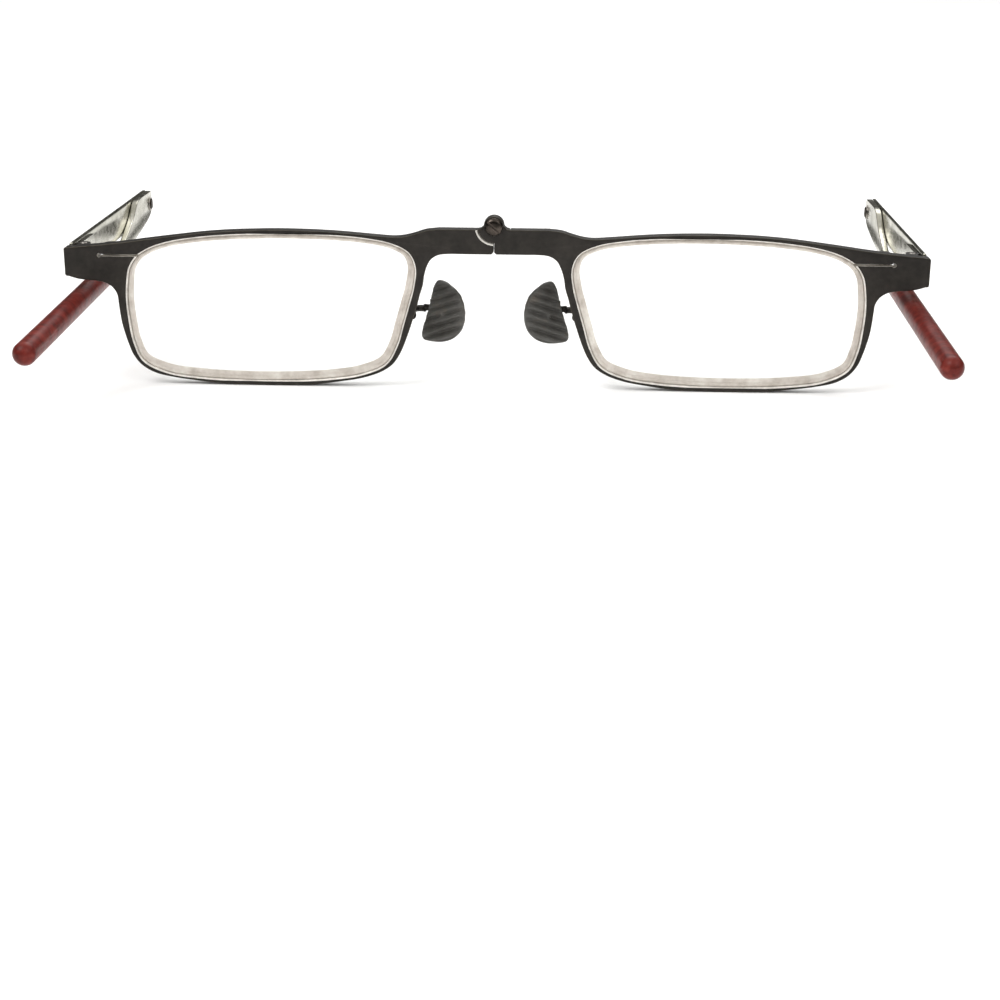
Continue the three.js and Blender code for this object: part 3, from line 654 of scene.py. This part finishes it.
def lock_barrel(name, z, bore_z):
    """A barrel with a foot on the rim; the lower one is bored through, the upper one from below only."""
    body = cylinder("z", LOCK_R, *z, (LOCK_X, LOCK_Y), 64)
    combine(body, [block(LOCK_X - 0.9, LOCK_X + 0.9, RIM_DEPTH + 0.02, LOCK_Y, *z)], "UNION")
    combine(body, [cylinder("z", LOCK_BORE_R, *bore_z, (LOCK_X, LOCK_Y), 32)], "DIFFERENCE")
    body.name = name
    return soften(body, 0.07)


def front_leaf(name):
    body = block(58.6, 61.6, LEAF_FRONT, LEAF_BACK, *LEAF_Z)
    for z0, z1 in ((LEAF_Z[0], KNUCKLE_Z[0] - KNUCKLE_GAP), (KNUCKLE_Z[1] + KNUCKLE_GAP, LEAF_Z[1])):
        combine(body, [cylinder("z", KNUCKLE_R, z0, z1, (HINGE_X, HINGE_Y), 64)], "UNION")
        combine(body, [block(HINGE_X - KNUCKLE_R, HINGE_X + 0.6, 2.6, HINGE_Y, z0, z1)], "UNION")
    combine(body, [cylinder("z", HINGE_BORE_R, 4, 9, (HINGE_X, HINGE_Y), 48)], "DIFFERENCE")
    body.name = name
    return soften(body, 0.06)


def temple_leaf(name):
    body = cylinder("z", KNUCKLE_R, *KNUCKLE_Z, (HINGE_X, HINGE_Y), 64)
    outer = BAND_INNER_X - 0.02
    combine(body, [block(HINGE_X + 0.1, outer, HINGE_Y, 7, *KNUCKLE_Z)], "UNION")
    combine(body, [block(HINGE_X + 0.42, outer, 5.75, TEMPLE_LEAF_END, LEAF_Z[0] + 0.1, LEAF_Z[1] - 0.1)],
            "UNION")
    combine(body, [cylinder("z", HINGE_BORE_R, 4, 9, (HINGE_X, HINGE_Y), 48)], "DIFFERENCE")
    body.name = name
    return soften(body, 0.07)


# ------------------------------------------------------------------ temple band, arm, tip
BAND_UPPER = [(BAND_FRONT, 8.6), (2.36, 8.7), (2.5, BAND_TOP), (50.9, BAND_TOP), (51.2, 8.69), (51.45, 8.54),
              (51.65, 8.3), (51.76, 8.05), (BAND_END, 7.8)]
BAND_LOWER = [(BAND_FRONT, 4.4), (2.7, 4.15), (3.5, 4.0), (4.8, BAND_BOTTOM), (44.3, BAND_BOTTOM),
              (46.8, 4.08), (48.8, 4.35), (50.2, 4.75), (51.1, 5.3), (51.6, 5.9), (51.76, 6.3),
              (BAND_END, 6.6)]


def along(table, y):
    """The height that a table of (y, z) points gives at y."""
    for a, b in zip(table, table[1:]):
        if y <= b[0]:
            return a[1] + (b[1] - a[1]) * max(y - a[0], 0) / max(b[0] - a[0], 1e-6)
    return table[-1][1]


def band(name):
    near_front = [BAND_FRONT, 2.33, 2.4, 2.5, 2.7, 3, 3.5, 4.2, 4.8]
    near_end = [51.2, 51.35, 51.5, 51.6, 51.68, 51.74, 51.78, BAND_END]
    stations = sorted({round(v, 3) for v in near_front + [5 + 0.55 * i for i in range(84)] + near_end})
    rings, count = [], 72
    for y in stations:
        top, bottom = along(BAND_UPPER, y), along(BAND_LOWER, y)
        end = min(y - BAND_FRONT, BAND_END - y)
        thick = BAND_HALF * (1 if end > 0.2 else 0.55 + 0.45 * math.sqrt(1 - (1 - end / 0.2) ** 2))
        mid, half = (top + bottom) / 2, (top - bottom) / 2
        ring = []
        for k in range(count):
            a = 2 * math.pi * k / count
            c, s = math.cos(a), math.sin(a)
            ring.append(Vector((BAND_MID_X + thick * math.copysign(abs(c) ** (2 / 2.6), c), y,
                                mid + half * math.copysign(abs(s) ** (2 / 5), s))))
        rings.append(ring)
    first, last = rings[0], rings[-1]
    return loft(name, rings, sum(first, Vector()) / count, sum(last, Vector()) / count)


def rod_z(y):
    return ROD_Z0 + ROD_SLOPE * y


ALONG_ROD = Matrix.Rotation(math.atan(ROD_SLOPE), 4, "X")
ARM_ROOT = [(50.9, 6.3), (50.92, 7.3), (50.9, 8.2), (50.78, 8.52), (50.45, 8.7), (49, 8.72), (42, 8.7),
            (40.3, 8.38), (38.7, 7.5), (36.7, 6.25), (33.6, 4.95), (30.2, 3.75), (27.3, 2.65), (25.4, 1.92),
            (25.4, 0.62), (28.2, 0.95), (31.6, 1.75), (35.2, 2.45), (40, 3.05), (44.6, 3.75), (48.4, 4.5),
            (50.2, 5.3)]


def rear_arm(name):
    """The flat root plate, from which a wire thickens out and runs straight on into the tip."""
    body = plate(name, [ccw(spline(ARM_ROOT, 220, closed=True))], *ARM_X, 0.14, "x", 3)
    stations = [((61.42, 30.5, 2.55), 0.34, 0.45), ((61.36, 28.4, 1.78), 0.55, 0.6),
                ((61.31, 26.6, 1.34), 0.72, 0.74), ((ROD_X, 25, rod_z(25)), CORE_R, CORE_R),
                ((ROD_X, 22, rod_z(22)), CORE_R, CORE_R)]
    steps = 10
    path = smooth3([s[0] for s in stations], steps) + [Vector((ROD_X, CORE_END, rod_z(CORE_END)))]
    wide = [s[1:] for s in stations]

    def section(i):
        if i >= steps * (len(wide) - 1):
            return CORE_R, CORE_R
        k, t = i // steps, (i % steps) / steps
        t = t * t * (3 - 2 * t)
        a = wide[k][0] + (wide[k + 1][0] - wide[k][0]) * t
        b = wide[k][1] + (wide[k + 1][1] - wide[k][1]) * t
        return a, b

    combine(body, [sweep("wire", path, section, 40)], "UNION")
    combine(body, [cylinder("x", ARM_BORE_R, 60, 63, ARM_PIVOT, 48)], "DIFFERENCE")
    return body


def arm_tip(name):
    length = ROD_TAIL - ROD_TIP
    profile = [(ROD_R * math.cos(a), -ROD_R * math.sin(a)) for a in
               [math.pi / 2 * (1 - i / 14) for i in range(15)]]
    profile[0] = (0, -ROD_R)
    profile += [(ROD_R, 10), (ROD_R, 25), (ROD_R, 40), (ROD_R, length - 1.75), (ROD_R - 0.03, length - 1.68),
                (ROD_R - 0.1, length - 1.62), (ROD_R - 0.1, length - 1.5), (ROD_R - 0.03, length - 1.44),
                (ROD_R, length - 1.37), (ROD_R, length - 0.5), (ROD_R - 0.06, length - 0.3),
                (ROD_R - 0.2, length - 0.12), (ROD_R - 0.45, length), (CORE_BORE_R, length)]
    depth = CORE_END - 0.3 - ROD_TIP
    profile += [(CORE_BORE_R, depth), (0, depth)]
    ob = turned(name, profile, segments=64)
    ob.data.transform(Matrix.Translation((ROD_X, ROD_TIP, rod_z(ROD_TIP))) @ ALONG_ROD)
    return ob


def pivot_rivet(name):
    inner = [(0, 60.6), (0.35, 60.61), (0.6, 60.64), (0.78, 60.69), (0.89, 60.77), (0.92, 60.82),
             (0.92, 60.85), (0.9, 60.87)]
    outer = [(0.95, 62.87), (0.98, 62.9), (0.98, 62.93), (0.92, 62.97), (0.8, HALF_WIDTH), (0, HALF_WIDTH)]
    profile = inner + [(ARM_PIN_R, 60.87), (ARM_PIN_R, 62.87)] + outer
    return turned(name, profile, (0, *ARM_PIVOT), "x", 64)


# ------------------------------------------------------------------ nose pad and its wire arm
PAD_FRAME = Matrix.Translation(PAD_CENTRE) @ Matrix.Rotation(PAD_TILT, 4, "Z")


def pad_arm(name):
    ax, az = PAD_ANCHOR
    path = smooth3([(ax, 2.02, az), (ax + 0.03, 2.6, az), (ax + 0.05, 3.3, az), (ax + 0.08, 4.5, az),
                    (ax + 0.08, 5.6, az), (ax - 0.06, 6.42, az), (ax - 0.42, 6.92, az), (ax - 0.95, 7.06, az),
                    (ax - 1.35, 6.95, az), (ax - 1.6, 6.78, az)], 5)
    wire = sweep(name, path, lambda i: (PAD_WIRE_R, PAD_WIRE_R), 32)
    collar = [(0, 2.02), (0.62, 2.02), (0.64, 2.06), (0.64, 2.4), (0.6, 2.5), (0.52, 2.55), (0, 2.55)]
    foot = turned("foot", collar, (ax, 0, az), "y", 48)
    tabs = [block(-1.3, 1.9, -0.25, 0.25, -1.3, 1.5), block(1.8, 3, -0.25, 0.25, -0.3, 0.6)]
    for t in tabs:
        soften(t, 0.08)
        t.data.transform(PAD_FRAME)
    return combine(wire, [foot] + tabs, "UNION")


def nose_pad(name):
    outline = ccw(spline(PAD_OUTLINE, 150, closed=True))
    centre = sum(outline, Vector((0, 0))) / len(outline)

    def ring(s, side):
        out = []
        body = PAD_HALF * (1 - s ** 9) ** (1 / 2.3)
        for p in outline:
            q = centre + (p - centre) * s
            phase = (q.y * math.cos(RIB_TURN) + q.x * math.sin(RIB_TURN)) / RIB_PERIOD
            rib = 0.5 - 0.5 * math.cos(2 * math.pi * (phase - RIB_PHASE))
            depth = RIB_DEPTH * (1 - rib) ** 1.5 * min(1, (1 - s) * 9 + 0.35) * min(1, s * 3 + 0.4)
            level = max(body - depth * body / PAD_HALF, 0)
            out.append(Vector((q.x, side * level, q.y)))
        return out

    scales = [0.06 + 0.86 * k / 34 for k in range(34)] + [0.93, 0.945, 0.96, 0.972, 0.982, 0.99, 0.996, 1.0]
    rings = [ring(s, -1) for s in scales] + [ring(s, 1) for s in reversed(scales[:-1])]
    first, last = rings[0], rings[-1]
    body = loft(name, rings, sum(first, Vector()) / len(first), sum(last, Vector()) / len(last))
    combine(body, [block(-1.38, 4.5, -0.31, 0.31, -1.38, 1.58)], "DIFFERENCE")
    body.data.transform(PAD_FRAME)
    return body


# ------------------------------------------------------------------ building the pieces
def weighted(ob):
    mod = ob.modifiers.new("w", "WEIGHTED_NORMAL")
    mod.keep_sharp, mod.weight = True, 60
    return ob


for side, sign in SIDES:
    half, temple, arm = side + "_half", side + "_temple", side + "_arm"
    holder = "right_half" if side == "right" else half

    def fit(stem, ob, body, materials, angle=32, choose=None):
        node = stem + "_" + side
        return put("detail_" + node, ob, sign, body, [node], materials, angle, choose)

    weighted(fit("front", front_half("f", side == "left"), holder, [FRAME, EDGE_WEAR_AND_HIGHLIGHT, BARE], 50,
                 front_finish))
    glass, which = lens("l")
    glass = fit("lens", glass, holder, [GLASS, GROUND], 28)
    for poly, index in zip(glass.data.polygons, which):
        poly.material_index = index
    upper = lock_barrel("b", LOCK_UPPER_Z, LOCK_UPPER_BORE_Z)
    lower = lock_barrel("b", LOCK_LOWER_Z, LOCK_LOWER_BORE_Z)
    weighted(fit("lock_barrel_upper", upper, holder, [FRAME]))
    weighted(fit("lock_barrel_lower", lower, holder, [FRAME]))
    lock_pin = slotted("s", 0.78, 0.42, LOCK_PIN_R, 4, 0.2, (LOCK_X, LOCK_Y, 4.43), "z", 0.5)
    weighted(fit("lock_screw", lock_pin, holder, [SCREW]))
    weighted(fit("hinge_front_leaf", front_leaf("b"), holder, [FRAME]))
    weighted(fit("hinge_temple_leaf", temple_leaf("b"), temple, [STEEL]))
    hinge_pin = slotted("s", 0.98, 0.46, HINGE_PIN_R, 4.15, 0.24, (HINGE_X, HINGE_Y, 4.38), "z", 0.9)
    weighted(fit("hinge_screw", hinge_pin, holder, [SCREW]))
    fit("temple_band", band("b"), temple, [STEEL], 60)
    fit("pivot_rivet", pivot_rivet("r"), temple, [DARK_SCREW])
    weighted(fit("pivot_washer", washer("w", ARM_WASHER_R, ARM_BORE_R, *ARM_WASHER_X, ARM_PIVOT, "x"), temple,
                 [SCREW]))
    fit("rear_arm", rear_arm("a"), arm, [ARM_STEEL], 40)
    fit("arm_tip", arm_tip("t"), arm, [TIP], 50)
    fit("pad_arm", pad_arm("p"), holder, [FRAME], 40)
    fit("nose_pad", nose_pad("n"), holder, [PAD], 60)

screw = slotted("s", BRIDGE_HEAD_R, 0.6, BRIDGE_PIN_R, RIM_DEPTH + 1.25, 0.3, (0, -0.03, PIVOT_Z), "y", 0.7)
weighted(put("detail_bridge_screw", screw, 1, "right_half", ["bridge_screw"], [DARK_SCREW]))
ring = washer("w", BRIDGE_HEAD_R, BRIDGE_BORE_R, RIM_DEPTH + 0.03, RIM_DEPTH + 0.28, (0, PIVOT_Z), "y")
weighted(put("detail_bridge_washer", ring, 1, "right_half", ["bridge_washer"], [SCREW]))
nut = cylinder("y", BRIDGE_NUT_R, RIM_DEPTH + 0.31, RIM_DEPTH + 1.1, (0, PIVOT_Z), 6)
combine(nut, [cylinder("y", BRIDGE_NUT_BORE_R, 1, 5, (0, PIVOT_Z), 48)], "DIFFERENCE")
weighted(put("detail_bridge_nut", soften(nut, 0.09), 1, "right_half", ["bridge_nut"], [SCREW]))

# ------------------------------------------------------------------ camera, floor and light
CAMERA_LENS, CAMERA_AT, CAMERA_TURN = 67.4, (11.19, -268.56, 60.59), (2.147, -18.487, -0.332)
cam = bpy.data.cameras.new("camera")
cam.sensor_width, cam.lens = 36, CAMERA_LENS
cam.clip_start, cam.clip_end = 0.01, 50
eye = bpy.data.objects.new("camera", cam)
scene.collection.objects.link(eye)
yaw, pitch, roll = (math.radians(v) for v in CAMERA_TURN)
aim = (Matrix.Rotation(yaw, 4, "Z") @ Matrix.Rotation(pitch, 4, "X") @ Matrix.Rotation(roll, 4, "Y")
       @ Matrix.Rotation(math.pi / 2, 4, "X"))
eye.matrix_world = Matrix.Translation(TO_ROW @ Vector(CAMERA_AT)) @ aim
scene.camera = eye

floor_mesh = bpy.data.meshes.new("floor")
floor_mesh.from_pydata([(-3, -3, 0), (3, -3, 0), (3, 3, 0), (-3, 3, 0)], [], [(0, 1, 2, 3)])
floor = link("floor", floor_mesh)
pale = Mat("floor_pale")
pale.set(Base_Color=pale.ramp(pale.noise(30, 2), [(0.3, (0.93, 0.93, 0.925)), (0.7, (0.95, 0.95, 0.945))]),
         Roughness=0.9)
floor_mesh.materials.append(pale.m)


def mirror_card(name, y0, y1):
    """A flat dark card low behind the glasses, seen by glossy rays only, which darkens the bands."""
    corners = [(-CARD_HALF, y0), (CARD_HALF, y0), (CARD_HALF, y1), (-CARD_HALF, y1)]
    me = bpy.data.meshes.new(name)
    me.from_pydata([TO_ROW @ Vector((x, y, CARD_Z)) for x, y in corners], [], [(0, 1, 2, 3)])
    ob = link(name, me)
    m = Mat(name)
    m.set(Base_Color=m.ramp(m.noise(40, 2), [(0.3, (0.030, 0.029, 0.024)), (0.7, (0.05, 0.048, 0.04))]),
          Roughness=0.9)
    me.materials.append(m.m)
    ob.visible_camera = ob.visible_diffuse = ob.visible_transmission = ob.visible_shadow = False


CARD_HALF, CARD_Z = 90, RIM_BOTTOM + 0.6
mirror_card("flag_far", 112, 140)
mirror_card("flag_near", 84, 92)

# The camera sees a plain pale world; glossy rays see a studio that is darker towards the horizon.
world = bpy.data.worlds.new("world")
scene.world = world
world.use_nodes = True
sky = world.node_tree
soft = sky.nodes["Background"]
soft.inputs["Color"].default_value = (1.0, 0.99, 0.975, 1)
soft.inputs["Strength"].default_value = 0.93
studio = sky.nodes.new("ShaderNodeBackground")
where = sky.nodes.new("ShaderNodeTexCoord")
split = sky.nodes.new("ShaderNodeSeparateXYZ")
tone = sky.nodes.new("ShaderNodeValToRGB")
rays = sky.nodes.new("ShaderNodeLightPath")
blend = sky.nodes.new("ShaderNodeMixShader")
stops = tone.color_ramp.elements
for place, value in ((0.34, 0.05), (0.5, 0.14), (0.66, 0.8)):
    stops.new(place).color = (value, value * 0.985, value * 0.95, 1)
stops[0].color, stops[-1].color = (0.10, 0.097, 0.09, 1), (0.95, 0.94, 0.92, 1)
sky.links.new(where.outputs["Generated"], split.inputs[0])
sky.links.new(split.outputs["Z"], tone.inputs["Fac"])
sky.links.new(tone.outputs["Color"], studio.inputs["Color"])
sky.links.new(rays.outputs["Is Glossy Ray"], blend.inputs["Fac"])
sky.links.new(soft.outputs["Background"], blend.inputs[1])
sky.links.new(studio.outputs["Background"], blend.inputs[2])
sky.links.new(blend.outputs["Shader"], sky.nodes["World Output"].inputs["Surface"])


def lamp(name, energy, size, at, to):
    data = bpy.data.lights.new(name, "AREA")
    data.energy, data.shape, data.size = energy, "SQUARE", size
    ob = bpy.data.objects.new(name, data)
    scene.collection.objects.link(ob)
    ob.location = at
    ob.rotation_euler = (Vector(to) - Vector(at)).to_track_quat("-Z", "Y").to_euler()


lamp("key", 3.6, 0.5, (-0.45, -0.35, 0.75), (0, 0.02, 0.01))
lamp("fill", 1.6, 0.6, (0.55, -0.5, 0.6), (0, 0.02, 0.01))
lamp("back", 1.8, 0.5, (0.1, 0.6, 0.6), (0, 0.02, 0.01))
scene.view_settings.view_transform = "Standard"
